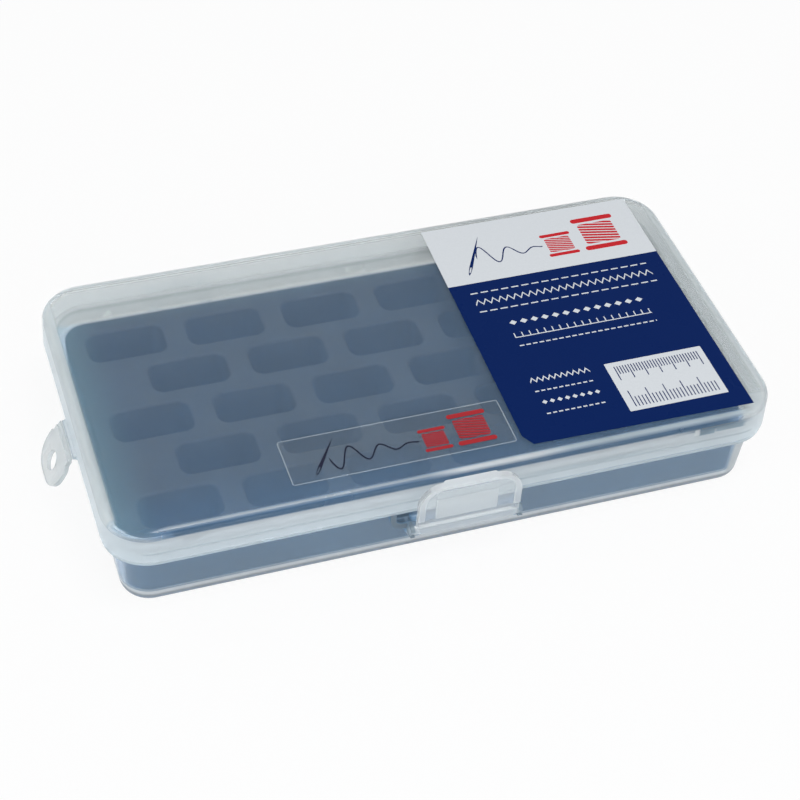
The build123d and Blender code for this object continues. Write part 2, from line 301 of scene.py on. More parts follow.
@dataclass(frozen=True)
class ClearMoulding:
    """Unfilled clear plastic as moulded: it lets light through, blurs it and holds a haze.

    The polished panels hold a thin blue haze, as scattered light is over dark things. The zones lay
    other areas over them, each over the ones before it: whiter, duller frosting, and painted
    highlights, painted lines of shade, painted reflections and dark areas painted for the foam seen
    through an edge. A slow ripple from the mould's filling varies the haze, the roughness and the
    surface.
    """

    name: str
    zones: tuple[Zone, ...]
    haze: float = 0.13
    haze_tint: Colour = (0.28, 0.59, 0.98)
    tint: Colour = (0.925, 0.935, 0.935)
    roughness: float = 0.08
    through_share: float = 0.5
    lamp_share: float = 0.86
    index: float = 1.49
    patch: float = 14.0 * MM
    patchiness: float = 0.07
    ripple: float = 16.0 * MM
    ripple_depth: float = 0.02 * MM

    def material(self) -> bpy.types.Material:
        """Makes the node tree."""
        s = Sketch(bpy.data.materials.new(self.name))
        x, y, z = s.place()
        out = {End.BOTH: s.math("ABSOLUTE", x), End.RIGHT: x, End.LEFT: s.math("MULTIPLY", x, -1.0)}
        share, colour, rough = self.haze, (*self.haze_tint, 1.0), self.roughness
        for zone in self.zones:
            mask = zone.mask(s, out, y, z)
            share = s.ramp(mask, 0.0, 1.0, share, zone.haze)
            rough = s.ramp(mask, 0.0, 1.0, rough, zone.roughness)
            colour = s.colour_mix(mask, colour, (*zone.tint, 1.0))
        uneven = s.uneven(s.noise(self.patch, 3.0), 1.0 - self.patchiness, 1.0 + self.patchiness)
        skin = s.bump(s.noise(self.ripple, 1.0), self.ripple_depth)
        clear = s.surface(
            Base_Color=(*self.tint, 1.0),
            Roughness=s.math("MULTIPLY", rough, uneven),
            IOR=self.index,
            Transmission_Weight=1.0,
            Normal=skin,
        )
        front = s.shader("ShaderNodeBsdfDiffuse", Color=colour, Normal=skin)
        through = s.shader("ShaderNodeBsdfTranslucent", Color=colour, Normal=skin)
        haze = s.shader_mix(self.through_share, front, through)
        body = s.shader_mix(s.math("MULTIPLY", share, uneven), clear, haze)
        lamps = s.node("ShaderNodeLightPath").outputs["Is Shadow Ray"]
        passed = tuple(self.lamp_share * channel for channel in self.tint)
        passing = s.shader("ShaderNodeBsdfTransparent", Color=(*passed, 1.0))
        return s.finish(s.shader_mix(lamps, body, passing))


@dataclass(frozen=True)
class DieCutFoam:
    """Soft foam: a dull charcoal body with fine cells, paler in soft patches and at the rims of its
    cells.
    """

    name: str
    body: Colour = (0.049, 0.050, 0.046)
    pale: Colour = (0.080, 0.081, 0.074)
    cell: float = 0.55 * MM
    cell_depth: float = 0.008 * MM
    patch: float = 6.0 * MM
    dent: float = 2.2 * MM
    dent_depth: float = 0.05 * MM
    roughness: Pair = (0.82, 0.95)
    shine: float = 0.12

    def material(self) -> bpy.types.Material:
        """Makes the node tree."""
        s = Sketch(bpy.data.materials.new(self.name))
        coordinates = s.node("ShaderNodeTexCoord").outputs["Object"]
        cells = s.node("ShaderNodeTexVoronoi", Vector=coordinates, Scale=1.0 / self.cell)
        depth = s.ramp(cells.outputs["Distance"], 0.05, 0.55, 0.0, 1.0)
        mottle = s.noise(self.patch, 4.0)
        speck = s.math("MULTIPLY_ADD", depth, 0.22, s.math("MULTIPLY", mottle, 0.9))
        colour = s.colour_mix(s.ramp(speck, 0.25, 0.95, 0.0, 1.0), self.body, self.pale)
        soft = s.bump(s.noise(self.dent, 3.0), self.dent_depth)
        skin = s.shader(
            "ShaderNodeBump", Strength=1.0, Distance=self.cell_depth, Height=depth, Normal=soft
        )
        rough = s.uneven(mottle, *self.roughness)
        return s.finish(s.surface(
            Base_Color=colour,
            Roughness=rough,
            Specular_IOR_Level=self.shine,
            Normal=skin,
        ))


@dataclass(frozen=True)
class Stitchery:
    """Masks of plain sewing motifs, drawn with arithmetic on a point's place in millimetres.

    Its sizes are half the width of a broad line, a fine line and a thread, the width of an
    upright and of a tick, a wound bobbin's proportions and a needle's eye.
    """

    s: Sketch
    x: Socket
    y: Socket
    broad: float = 0.22
    fine: float = 0.16
    strand: float = 0.20
    post: float = 0.32
    tick: float = 0.30
    bobbin_rim: float = 0.13
    bobbin_core: float = 0.82
    winding_gap: float = 2.9
    winding_slant: float = 0.22
    winding_pitch: float = 0.17
    winding_width: float = 0.115
    needle_eye: float = 0.74
    eye_half: Pair = (1.3, 0.22)

    def plate(self, centre: Pair, half: Pair, round_by: float) -> Socket:
        """Gives a rectangle with round corners.

        The distance to it is the length of the part of the offset from its centre that lies
        outside the straight core, and the mask is where that is under the radius.
        """
        s = self.s
        spans = []
        for value, middle, reach in zip((self.x, self.y), centre, half):
            over = s.math("SUBTRACT", s.apart(value, middle), reach - round_by)
            over = s.math("MAXIMUM", over, 0.0)
            spans.append(s.math("MULTIPLY", over, over))
        return s.under(s.math("SQRT", s.math("ADD", *spans)), round_by)

    def beat(self, value: Socket, period: float, start: float = 0.0) -> Socket:
        """Gives how far a value is through its period, from 0 to the period."""
        return self.s.math("FLOORED_MODULO", self.s.math("SUBTRACT", value, start), period)

    def swing(self, value: Socket, period: float, start: float = 0.0) -> Socket:
        """Gives a triangle wave from 0 to 1 and back over each period."""
        s = self.s
        wave = s.math("PINGPONG", s.math("SUBTRACT", value, start), period / 2)
        return s.math("DIVIDE", wave, period / 2)

    def line(self, height: Value, half_width: float, steepness: Value = 0.0) -> Socket:
        """Gives a line along a curve y = height, as wide across the curve where it is steep.

        The upright distance to the curve is compared with the half width times the square
        root of one plus the steepness squared.
        """
        s = self.s
        away = s.apart(self.y, height)
        if isinstance(steepness, float):
            return s.under(away, half_width * float(np.hypot(1.0, steepness)))
        slant = s.math("SQRT", s.math("MULTIPLY_ADD", steepness, steepness, 1.0))
        return s.under(away, s.math("MULTIPLY", slant, half_width))

    def running(self, span: Pair, row: float, stitch: float, gap: float) -> Socket:
        """Gives one row of running stitches between two places."""
        s = self.s
        on = s.under(self.beat(self.x, stitch + gap, span[0]), stitch)
        return s.both(s.inside(self.x, *span), on, self.line(row, self.broad))

    def zigzag(self, span: Pair, row: float, rise: float, period: float) -> Socket:
        """Gives one zigzag row: a line along a triangle wave."""
        s = self.s
        wave = s.math("MULTIPLY_ADD", self.swing(self.x, period, span[0]), rise, row - rise / 2)
        return s.both(s.inside(self.x, *span), self.line(wave, self.fine, 2 * rise / period))

    def diamonds(self, span: Pair, row: float, rise: float, period: float) -> Socket:
        """Gives one row of satin-stitch diamonds.

        They are where the shares of both half widths add up to less than one.
        """
        s = self.s
        half_width = period * 0.36
        along = s.apart(self.beat(self.x, period, span[0]), period / 2)
        along = s.math("DIVIDE", along, half_width)
        across = s.math("DIVIDE", s.apart(self.y, row), rise / 2)
        return s.both(s.inside(self.x, *span), s.under(s.math("ADD", along, across), 1.0))

    def blanket(self, span: Pair, row: float, rise: float, period: float) -> Socket:
        """Gives one row of blanket stitches: a base line with an upright in each period."""
        s = self.s
        base = self.line(row - rise / 2, self.fine)
        post = s.both(
            s.under(self.beat(self.x, period, span[0]), self.post),
            s.inside(self.y, row - rise / 2, row + rise / 2),
        )
        return s.both(s.inside(self.x, *span), s.either(base, post))

    def ticks(self, span: Pair, edge: float, side: Side, steps: tuple[Pair, ...]) -> Socket:
        """Gives tape-measure ticks.

        Args:
            span: Where the scale starts and ends.
            edge: The height that the ticks grow from.
            side: Whether they grow up or down.
            steps: The spacing and the length of each kind of tick.

        Returns:
            The mask of all ticks.
        """
        s = self.s
        grown = s.math("MULTIPLY", s.math("SUBTRACT", self.y, edge), side.value)
        kinds = []
        for spacing, length in steps:
            on = s.under(self.beat(self.x, spacing, span[0]), self.tick)
            kinds.append(s.both(on, s.inside(grown, 0.0, length)))
        return s.both(s.inside(self.x, *span), s.either(*kinds))

    def bobbin(self, centre: Pair, half: Pair) -> Socket:
        """Gives a wound bobbin seen from its side: two flanges with hatched thread between.

        Args:
            centre: Its middle.
            half: Half its width and half its height.

        Returns:
            The mask of the flanges and the thread.
        """
        s = self.s
        (cx, cy), (hx, hy) = centre, half
        rim = hy * self.bobbin_rim
        upper = self.plate((cx, cy + hy - rim), (hx, rim), rim)
        lower = self.plate((cx, cy - hy + rim), (hx, rim), rim)
        core = (hx * self.bobbin_core, hy - self.winding_gap * rim)
        winding = self.plate((cx, cy), core, rim)
        slanted = s.math("MULTIPLY_ADD", self.x, self.winding_slant, self.y)
        beat = self.beat(slanted, hy * self.winding_pitch)
        hatch = s.under(beat, hy * self.winding_width)
        return s.either(upper, lower, s.both(winding, hatch))

    def thread(self, span: Pair, row: float, swing: float, turns: float) -> Socket:
        """Gives a thread that waves more and more from one end to the other.

        Its height is the row plus the swing, growing in a straight line from nothing, times
        the sine of the turns made so far.
        """
        s = self.s
        start, end = span
        way = s.math("DIVIDE", s.math("SUBTRACT", self.x, start), end - start)
        whole = 2 * np.pi * turns
        angle = s.math("MULTIPLY", way, whole)
        reach = s.math("MULTIPLY", way, swing)
        height = s.math("MULTIPLY_ADD", s.math("SINE", angle), reach, row)
        steep = s.math("MULTIPLY", s.math("COSINE", angle), reach)
        steep = s.math("MULTIPLY", steep, whole / abs(end - start))
        return s.both(s.inside(self.x, min(span), max(span)), self.line(height, self.strand, steep))

    def needle(self, centre: Pair, half_length: float, lean: float) -> Socket:
        """Gives a sewing needle: a slim pointed shape with an eye near its blunt end.

        Args:
            centre: Its middle.
            half_length: Half its length.
            lean: Its angle from the x direction, in radians.

        Returns:
            The mask of the needle without its eye.
        """
        s = self.s
        dx = s.math("SUBTRACT", self.x, centre[0])
        dy = s.math("SUBTRACT", self.y, centre[1])
        cos, sin = float(np.cos(lean)), float(np.sin(lean))
        along = s.math("MULTIPLY_ADD", dx, cos, s.math("MULTIPLY", dy, sin))
        across = s.math("MULTIPLY_ADD", dx, -sin, s.math("MULTIPLY", dy, cos))
        share = s.math("DIVIDE", along, half_length)
        taper = s.ramp(share, -1.0, 0.6, 0.08, 0.52)
        blunt = s.math("MAXIMUM", s.outside(s.math("POWER", share, 4.0)), 0.0)
        width = s.math("MULTIPLY", taper, s.math("SQRT", blunt))
        body = s.under(s.math("ABSOLUTE", across), width)
        from_eye = s.math("SUBTRACT", along, half_length * self.needle_eye)
        eye_u = s.math("DIVIDE", from_eye, self.eye_half[0])
        eye_v = s.math("DIVIDE", across, self.eye_half[1])
        square = s.math("MULTIPLY_ADD", eye_u, eye_u, s.math("MULTIPLY", eye_v, eye_v))
        within = s.under(s.math("ABSOLUTE", share), 1.0)
        return s.both(body, within, s.outside(s.under(square, 1.0)))


@dataclass(frozen=True)
class PrintedSheetFinish:
    """Gloss printed sheet: a white band over a navy field, with sewing motifs and a scale.

    Its spans are the ends, in millimetres along x, of the wide rows of stitches, of the
    middle ones, of the low ones and of the scale.
    """

    name: str
    paper: Colour = (0.66, 0.69, 0.72)
    navy: Colour = (0.0026, 0.0165, 0.102)
    red: Colour = (0.55, 0.022, 0.030)
    band_edge: float = 19.5
    wide: Pair = (24.6, 77.4)
    middle: Pair = (30.4, 70.6)
    low: Pair = (28.0, 45.0)
    scale: Pair = (51.6, 75.9)

    def material(self) -> bpy.types.Material:
        """Makes the node tree."""
        s = Sketch(bpy.data.materials.new(self.name))
        x, y, _ = s.place()
        art = Stitchery(s, x, y)
        field = s.under(y, self.band_edge)
        red = s.either(
            art.bobbin((69.6, 31.6), (6.4, 7.0)),
            art.bobbin((56.6, 29.4), (4.6, 4.8)),
        )
        ink = s.either(
            art.thread((51.5, 31.5), 29.6, 4.6, 2.5),
            art.needle((31.0, 30.6), 8.6, -2.05),
        )
        stitches = s.either(
            art.running(self.wide, 15.4, 2.1, 0.9),
            art.zigzag(self.wide, 11.6, 1.9, 2.2),
            art.running(self.wide, 7.8, 2.1, 0.9),
            art.diamonds((30.4, 70.7), 1.6, 1.9, 3.1),
            art.blanket(self.middle, -3.4, 1.8, 2.2),
            art.running(self.middle, -7.6, 1.3, 0.6),
            art.zigzag(self.low, -21.0, 1.5, 1.7),
            art.running(self.low, -25.2, 1.1, 0.6),
            art.diamonds(self.low, -29.4, 1.5, 2.125),
            art.running(self.low, -33.6, 1.1, 0.6),
        )
        panel = art.plate((63.6, -29.4), (14.1, 9.2), 0.3)
        scale = s.either(
            art.ticks(self.scale, -37.2, Side.UP, ((1.0, 3.6), (5.0, 6.0))),
            art.ticks(self.scale, -21.8, Side.DOWN, ((0.8, 3.0), (4.0, 5.2))),
        )
        base = s.colour_mix(field, self.paper, self.navy)
        band = s.outside(field)
        base = s.colour_mix(s.both(ink, band), base, self.navy)
        base = s.colour_mix(s.both(red, band), base, self.red)
        base = s.colour_mix(s.both(stitches, field), base, self.paper)
        base = s.colour_mix(panel, base, self.paper)
        base = s.colour_mix(s.both(panel, scale), base, self.navy)
        mottle = s.uneven(s.noise(0.5 * MM, 2.0), 0.985, 1.015)
        skin = s.bump(s.noise(11.0 * MM, 2.0), 0.05 * MM)
        rough = s.uneven(s.noise(7.0 * MM, 3.0), 0.24, 0.34)
        return s.finish(s.surface(
            Base_Color=s.scaled(base, mottle),
            Roughness=rough,
            Specular_IOR_Level=0.04,
            Normal=skin,
        ))


@dataclass(frozen=True)
class PrintedFilmFinish:
    """Clear film with a small print in red and near-black ink, and a pale cut edge.

    The film itself is nearly unseen, so it covers only a small share of what lies under it.
    """

    name: str
    red: Colour = (0.42, 0.016, 0.022)
    dark: Colour = (0.010, 0.012, 0.040)
    pale: Colour = (0.62, 0.68, 0.72)
    film: Colour = (0.22, 0.26, 0.29)
    centre: Pair = (-12.6, -33.05)
    half: Pair = (29.7, 7.75)
    corner: float = 0.5
    rim: float = 0.22
    ink_cover: float = 0.92
    rim_cover: float = 0.34
    film_cover: float = 0.07
    index: float = 1.46

    def material(self) -> bpy.types.Material:
        """Makes the node tree."""
        s = Sketch(bpy.data.materials.new(self.name))
        x, y, _ = s.place()
        art = Stitchery(s, x, y)
        red = s.either(
            art.bobbin((7.4, -33.0), (5.2, 5.6)),
            art.bobbin((-3.0, -34.6), (3.7, 3.9)),
        )
        dark = s.either(
            art.thread((-7.2, -31.0), -34.4, 4.2, 3.0),
            art.needle((-32.0, -33.2), 6.6, -2.15),
        )
        printed = s.either(red, dark)
        inner = art.plate(self.centre, tuple(h - self.rim for h in self.half), self.corner)
        edge = s.outside(inner)
        skin = s.bump(s.noise(8.0 * MM, 2.0), 0.03 * MM)
        rough = s.uneven(s.noise(5.0 * MM, 3.0), 0.12, 0.20)
        colour = s.colour_mix(s.either(printed, edge), self.film, self.pale)
        colour = s.colour_mix(dark, colour, self.dark)
        colour = s.colour_mix(red, colour, self.red)
        cover = s.either(
            s.math("MULTIPLY", printed, self.ink_cover), s.math("MULTIPLY", edge, self.rim_cover)
        )
        return s.finish(s.surface(
            Base_Color=colour,
            Roughness=rough,
            IOR=self.index,
            Alpha=s.math("MAXIMUM", cover, self.film_cover),
            Normal=skin,
        ))


@dataclass(frozen=True)
class FloorPaint:
    """Plain pale floor that looks nearly white to the camera and keeps a soft shadow."""

    name: str
    paint: Colour = (0.86, 0.865, 0.87)
    glow: float = 1.0
    glow_share: float = 0.90

    def material(self) -> bpy.types.Material:
        """Makes the node tree."""
        s = Sketch(bpy.data.materials.new(self.name))
        speck = s.uneven(s.noise(3.0 * MM, 3.0), 0.985, 1.0)
        paint = s.shader("ShaderNodeBsdfDiffuse", Color=s.scaled(self.paint, speck))
        glow = s.shader("ShaderNodeEmission", Color=(1.0, 1.0, 1.0, 1.0), Strength=self.glow)
        share = s.math("MULTIPLY", s.seen_share(), self.glow_share)
        return s.finish(s.shader_mix(share, paint, glow))


# ---------------------------------------------------------------- mesh helpers


def linked(name: str, vertices: np.ndarray, faces: list[tuple[int, ...]]) -> bpy.types.Object:
    """Puts a mesh into the scene, smooth and with its faces outward.

    Args:
        name: The piece's name.
        vertices: Its points in metres, one row each.
        faces: The corners of each face.

    Returns:
        The new object, at the origin.
    """
    mesh = bpy.data.meshes.new(name)
    mesh.from_pydata(vertices.tolist(), [], faces)
    work = bmesh.new()
    work.from_mesh(mesh)
    bmesh.ops.remove_doubles(work, verts=work.verts, dist=1e-7)
    bmesh.ops.recalc_face_normals(work, faces=work.faces)
    work.to_mesh(mesh)
    work.free()
    mesh.polygons.foreach_set("use_smooth", np.ones(len(mesh.polygons), bool))
    piece = bpy.data.objects.new(name, mesh)
    bpy.context.scene.collection.objects.link(piece)
    return piece


def stacked(rings: list[np.ndarray], heights: list[float], place: Pair = (0.0, 0.0)) -> Skin:
    """Sets closed rings at their heights about a place, and joins each to the next.

    Args:
        rings: The rings, with as many points each.
        heights: The height of each ring.
        place: The x and y that the rings lie about.

    Returns:
        The points, and one row of four indices for each quad.
    """
    around = len(rings[0])
    flat = np.concatenate(rings) + np.array(place)
    points = np.column_stack([flat, np.repeat(heights, around)])
    ring, step = np.meshgrid(np.arange(len(rings) - 1), np.arange(around), indexing="ij")
    here = ring * around + step
    beside = ring * around + (step + 1) % around
    quads = np.stack([here, beside, beside + around, here + around], -1)
    return points, quads.reshape(-1, 4)


def run(start: Pair | np.ndarray, end: Pair | np.ndarray, count: int) -> np.ndarray:
    """Gives evenly spaced points from a start towards an end, without the end itself."""
    share = np.arange(count)[:, None] / count
    return np.array(start) * (1 - share) + np.array(end) * share


def round_outline(half: Pair, radius: float, sides: tuple[int, int], bend: int) -> np.ndarray:
    """Gives a rounded rectangle, anticlockwise from the start of its lower side.

    Each corner is a quarter turn of the radius about its centre, and each side a straight
    run, with even steps on both.

    Args:
        half: Half its width and depth.
        radius: Its corner radius.
        sides: Steps on a side along x, and on one along y.
        bend: Steps on each corner.

    Returns:
        One row of x and y for each point.
    """
    hx, hy = half
    cx, cy = hx - radius, hy - radius
    along = (sides[0], sides[1], sides[0], sides[1])
    starts = ((-cx, -hy), (hx, -cy), (cx, hy), (-hx, cy))
    ends = ((cx, -hy), (hx, cy), (-cx, hy), (-hx, -cy))
    centres = ((cx, -cy), (cx, cy), (-cx, cy), (-cx, -cy))
    runs = []
    for turn in range(4):
        runs.append(run(starts[turn], ends[turn], along[turn]))
        angle = (turn - 1) * np.pi / 2 + np.arange(bend) / bend * np.pi / 2
        arc = radius * np.stack([np.cos(angle), np.sin(angle)], -1)
        runs.append(np.array(centres[turn]) + arc)
    return np.concatenate(runs)


def square_outline(half: Pair, sides: tuple[int, int], bend: int) -> np.ndarray:
    """Gives a plain rectangle whose points pair with those of round_outline.

    All its steps are even, and each corner lies in the middle of the other's bend.

    Args:
        half: Half its width and depth.
        sides: Steps on the other outline's side along x, and on one along y.
        bend: Steps on each of its corners, an even number.

    Returns:
        One row of x and y for each point.
    """
    hx, hy = half
    corners = ((-hx, -hy), (hx, -hy), (hx, hy), (-hx, hy))
    counts = (sides[0] + bend, sides[1] + bend, sides[0] + bend, sides[1] + bend)
    runs = []
    for turn in range(4):
        runs.append(run(corners[turn], corners[(turn + 1) % 4], counts[turn]))
    return np.roll(np.concatenate(runs), -(bend // 2), axis=0)


# ---------------------------------------------------------------- foam insert


@dataclass
class FoamInsert:
    """Soft die-cut slab: soft slot edges, slightly hollow cut walls and a faintly uneven top.

    Each slot has its own closed band of quads, from the edge of its cell on the top, over
    the slot's edge, down its wall and back out to the edge of the cell underneath. The cells
    share their edge points, so all bands and the outer border weld to one closed skin.
    """

    slot: Pair = (21.0 * MM, 11.0 * MM)
    slot_radius: float = 3.0 * MM
    pitch: Pair = (27.4 * MM, 15.4 * MM)
    long_row: int = 6
    rows: int = 5
    corner: float = 6.2 * MM
    edge: float = 0.7 * MM
    lower_edge: float = 1.8 * MM
    hollow: float = 0.22 * MM
    unevenness: float = 0.10 * MM
    sides: tuple[int, int] = (16, 6)
    bend: int = 8
    border_bend: int = 10
    edge_points: int = 5
    wall_points: int = 7
    cell_shares: tuple[float, ...] = (0.0, 0.3, 0.6, 0.85)
    border_shares: tuple[float, ...] = (0.0, 0.5)

    def build(self) -> bpy.types.Object:
        """Builds the slab in the place of its node and dresses it.

        Returns:
            The new piece.
        """
        low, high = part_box("foam_insert")
        self.half = ((high.x - low.x) / 2, (high.y - low.y) / 2)
        self.low, self.top = low.z, high.z
        bands = [self.cell(x, y) for x, y in self.slot_places()]
        bands += [self.plain_cell(x, y, z) for x, y in self.gap_places() for z in (1.0, 0.0)]
        bands.append(self.border())
        vertices, faces, count = [], [], 0
        for points, quads in bands:
            vertices.append(points)
            faces.append(quads + count)
            count += len(points)
        points = np.concatenate(vertices)
        points[:, 2] -= self.sag(points)
        piece = linked("foam_slab", points, np.concatenate(faces).tolist())
        piece.data.materials.append(DieCutFoam("foam_charcoal").material())
        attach(piece, "base")
        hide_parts("foam_insert")
        return piece

    def slot_places(self) -> list[Pair]:
        """Gives the centre of every slot, row after row."""
        places = []
        for row in range(self.rows):
            count = self.long_row - row % 2
            y = (row - (self.rows - 1) / 2) * self.pitch[1]
            places += [((i - (count - 1) / 2) * self.pitch[0], y) for i in range(count)]
        return places

    def gap_places(self) -> list[Pair]:
        """Gives the centre of the half cell without a slot at both ends of each short row."""
        x = (self.long_row - 0.5) / 2 * self.pitch[0]
        rows = range(1, self.rows, 2)
        middle = (self.rows - 1) / 2
        return [(side * x, (row - middle) * self.pitch[1]) for row in rows for side in (-1, 1)]

    def sag(self, points: np.ndarray) -> np.ndarray:
        """Gives how far each point lies under the flat slab.

        On the top it is the unevenness times half of one minus a product of slow sines in x
        and y, and it fades to nothing half way down.
        """
        x, y, z = points.T
        wave = np.sin(x / (9.0 * MM) + 1.3) * np.sin(y / (7.0 * MM) + 0.4)
        swell = np.sin(x / (31.0 * MM)) * np.cos(y / (23.0 * MM) + 0.8)
        height = np.clip((z - self.low) / (self.top - self.low) * 2 - 1, 0, 1)
        return self.unevenness * (1 - 0.6 * wave - 0.4 * swell) / 2 * height

    def profile(self, lower: float) -> Skin:
        """Gives a cut wall from the top face to the underside.

        Over the edges it follows quarter turns of their radii, and between them it leans
        into the foam by the hollow's depth times the sine of half a turn.

        Args:
            lower: Radius of the edge underneath.

        Returns:
            The distance into the foam, and the height, of each point.
        """
        turn = np.linspace(0, np.pi / 2, self.edge_points)
        way = np.linspace(0, 1, self.wall_points + 2)[1:-1]
        wall = self.top - self.edge - way * (self.top - self.low - self.edge - lower)
        upper_into, lower_into = self.edge * (1 - np.sin(turn)), lower * (1 - np.cos(turn))
        upper, under = self.edge * (1 - np.cos(turn)), lower * (1 - np.sin(turn))
        into = np.concatenate([upper_into, self.hollow * np.sin(np.pi * way), lower_into])
        return into, np.concatenate([self.top - upper, wall, self.low + under])

    def band(
        self, far: np.ndarray, outline: Callable[[float], np.ndarray], lower: float,
        shares: tuple[float, ...], place: Pair = (0.0, 0.0),
    ) -> Skin:
        """Builds a cut wall's closed band, with the parts of both faces beside it.

        On the faces the rings go from the far ring to the wall by the shares, and on the
        wall each ring is the outline at the profile's distance.

        Args:
            far: The ring that the faces' parts end at.
            outline: Gives the wall's outline at a distance into the foam.
            lower: Radius of the edge underneath.
            shares: How far each ring on a face is on its way to the wall.
            place: The x and y that the band lies about.

        Returns:
            Its points and quads.
        """
        into, height = self.profile(lower)
        rings = [far * (1 - t) + outline(into[0]) * t for t in shares]
        rings += [outline(by) for by in into]
        rings += [far * (1 - t) + outline(into[-1]) * t for t in shares[::-1]]
        heights = [self.top] * len(shares) + list(height) + [self.low] * len(shares)
        return stacked(rings, heights, place)

    def cell(self, x: float, y: float) -> Skin:
        """Builds one slot's band, out to the edge of its cell.

        Args:
            x: Centre of the slot.
            y: Centre of the slot.

        Returns:
            Its points and quads.
        """
        (long, deep), radius = self.slot, self.slot_radius

        def grown(by: float) -> np.ndarray:
            """Gives the slot's outline, larger by a distance all round."""
            return round_outline((long / 2 + by, deep / 2 + by), radius + by, self.sides, self.bend)

        outer = square_outline((self.pitch[0] / 2, self.pitch[1] / 2), self.sides, self.bend)
        return self.band(outer, grown, self.edge, self.cell_shares, (x, y))

    def plain_cell(self, x: float, y: float, level: float) -> Skin:
        """Builds one face of a half cell: an even grid at the top, 1, or the underside, 0."""
        across = (self.sides[0] + self.bend) // 2
        deep = self.sides[1] + self.bend
        gx, gy = np.meshgrid(
            x + np.linspace(-0.25, 0.25, across + 1) * self.pitch[0],
            y + np.linspace(-0.5, 0.5, deep + 1) * self.pitch[1],
        )
        z = np.full(gx.size, self.low + level * (self.top - self.low))
        points = np.column_stack([gx.ravel(), gy.ravel(), z])
        row, column = np.meshgrid(np.arange(deep), np.arange(across), indexing="ij")
        here = row * (across + 1) + column
        quads = np.stack([here, here + 1, here + across + 2, here + across + 1], -1)
        return points, quads.reshape(-1, 4)

    def border(self) -> Skin:
        """Builds the outer band, from the block of cells to the outline and round the sides."""
        (hx, hy), bend = self.half, self.border_bend
        counts = (self.long_row, self.rows)
        steps = tuple(n * (side + self.bend) - bend for n, side in zip(counts, self.sides))

        def shrunk(by: float) -> np.ndarray:
            """Gives the slab's outline, smaller by a distance all round."""
            return round_outline((hx - by, hy - by), self.corner - by, steps, bend)

        block = tuple(n * pitch / 2 for n, pitch in zip(counts, self.pitch))
        inner = square_outline(block, steps, bend)
        return self.band(inner, shrunk, self.lower_edge, self.border_shares)


# ---------------------------------------------------------------- thin sheets on the lid


def even_path(corners: np.ndarray, step: float) -> np.ndarray:
    """Gives a closed path through all the corners, with points no further apart than a step.

    Each side is divided evenly by the whole number of steps that it needs.
    """
    runs = []
    for start, end in zip(corners, np.roll(corners, -1, axis=0)):
        count = max(1, int(np.ceil(np.linalg.norm(end - start) / step)))
        runs.append(run(start, end, count))
    return np.concatenate(runs)


@dataclass
class ThinSheet:
    """A flat sheet stuck on the lid, lying in the place of its node."""

    node: str
    slot: str
    name: str
    corner: float = 0.0
    skew: float = 0.0
    cut: Pair = (0.0, 0.0)
    lift: float = 0.012 * MM
    step: float = 2.5 * MM
    sides: tuple[int, int] = (24, 8)
    bend: int = 6
    shares: tuple[float, ...] = (0.0, 0.35, 0.7, 1.0)

    def outline(self, half: Pair) -> np.ndarray:
        """Gives the sheet's edge about its centre.

        It has round corners, or is out of square by the skew on its left and its front, with
        the corner between them cut off.
        """
        hx, hy = half
        if self.corner:
            return round_outline(half, self.corner, self.sides, self.bend)
        low, (along, deep) = self.skew - hy, self.cut
        corners = [(along - hx, low), (hx, -hy), (hx, hy), (self.skew - hx, hy), (-hx, low + deep)]
        return even_path(np.array(corners), self.step)

    def build(self, finish: bpy.types.Material) -> bpy.types.Object:
        """Builds the sheet and dresses it.

        Its rings go from the middle out to the edge underneath, and back to the middle on
        the top, each the outline times its share.

        Args:
            finish: The material.

        Returns:
            The new piece.
        """
        low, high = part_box(self.node)
        centre = ((low.x + high.x) / 2, (low.y + high.y) / 2)
        outline = self.outline(((high.x - low.x) / 2, (high.y - low.y) / 2))
        rings = [outline * share for share in (*self.shares, *self.shares[::-1])]
        heights = [low.z + self.lift] * len(self.shares) + [high.z] * len(self.shares)
        points, quads = stacked(rings, heights, centre)
        piece = linked(self.name, points, quads.tolist())
        piece.data.polygons.foreach_set("use_smooth", np.zeros(len(piece.data.polygons), bool))
        piece.data.materials.append(finish)
        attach(piece, "lid")
        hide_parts(self.node)
        return piece


# ---------------------------------------------------------------- mouldings


def front_right(
    haze: float, tint: Colour, x: Pair, z: Pair, fade: float, y: Pair = FRONT_EDGE,
    soften: float = 0.5, roughness: float = 0.24,
) -> Zone:
    """Gives a zone at the front whose x counts from the middle to the right."""
    return Zone(haze, tint, roughness, x, y, z, soften, fade, End.RIGHT)


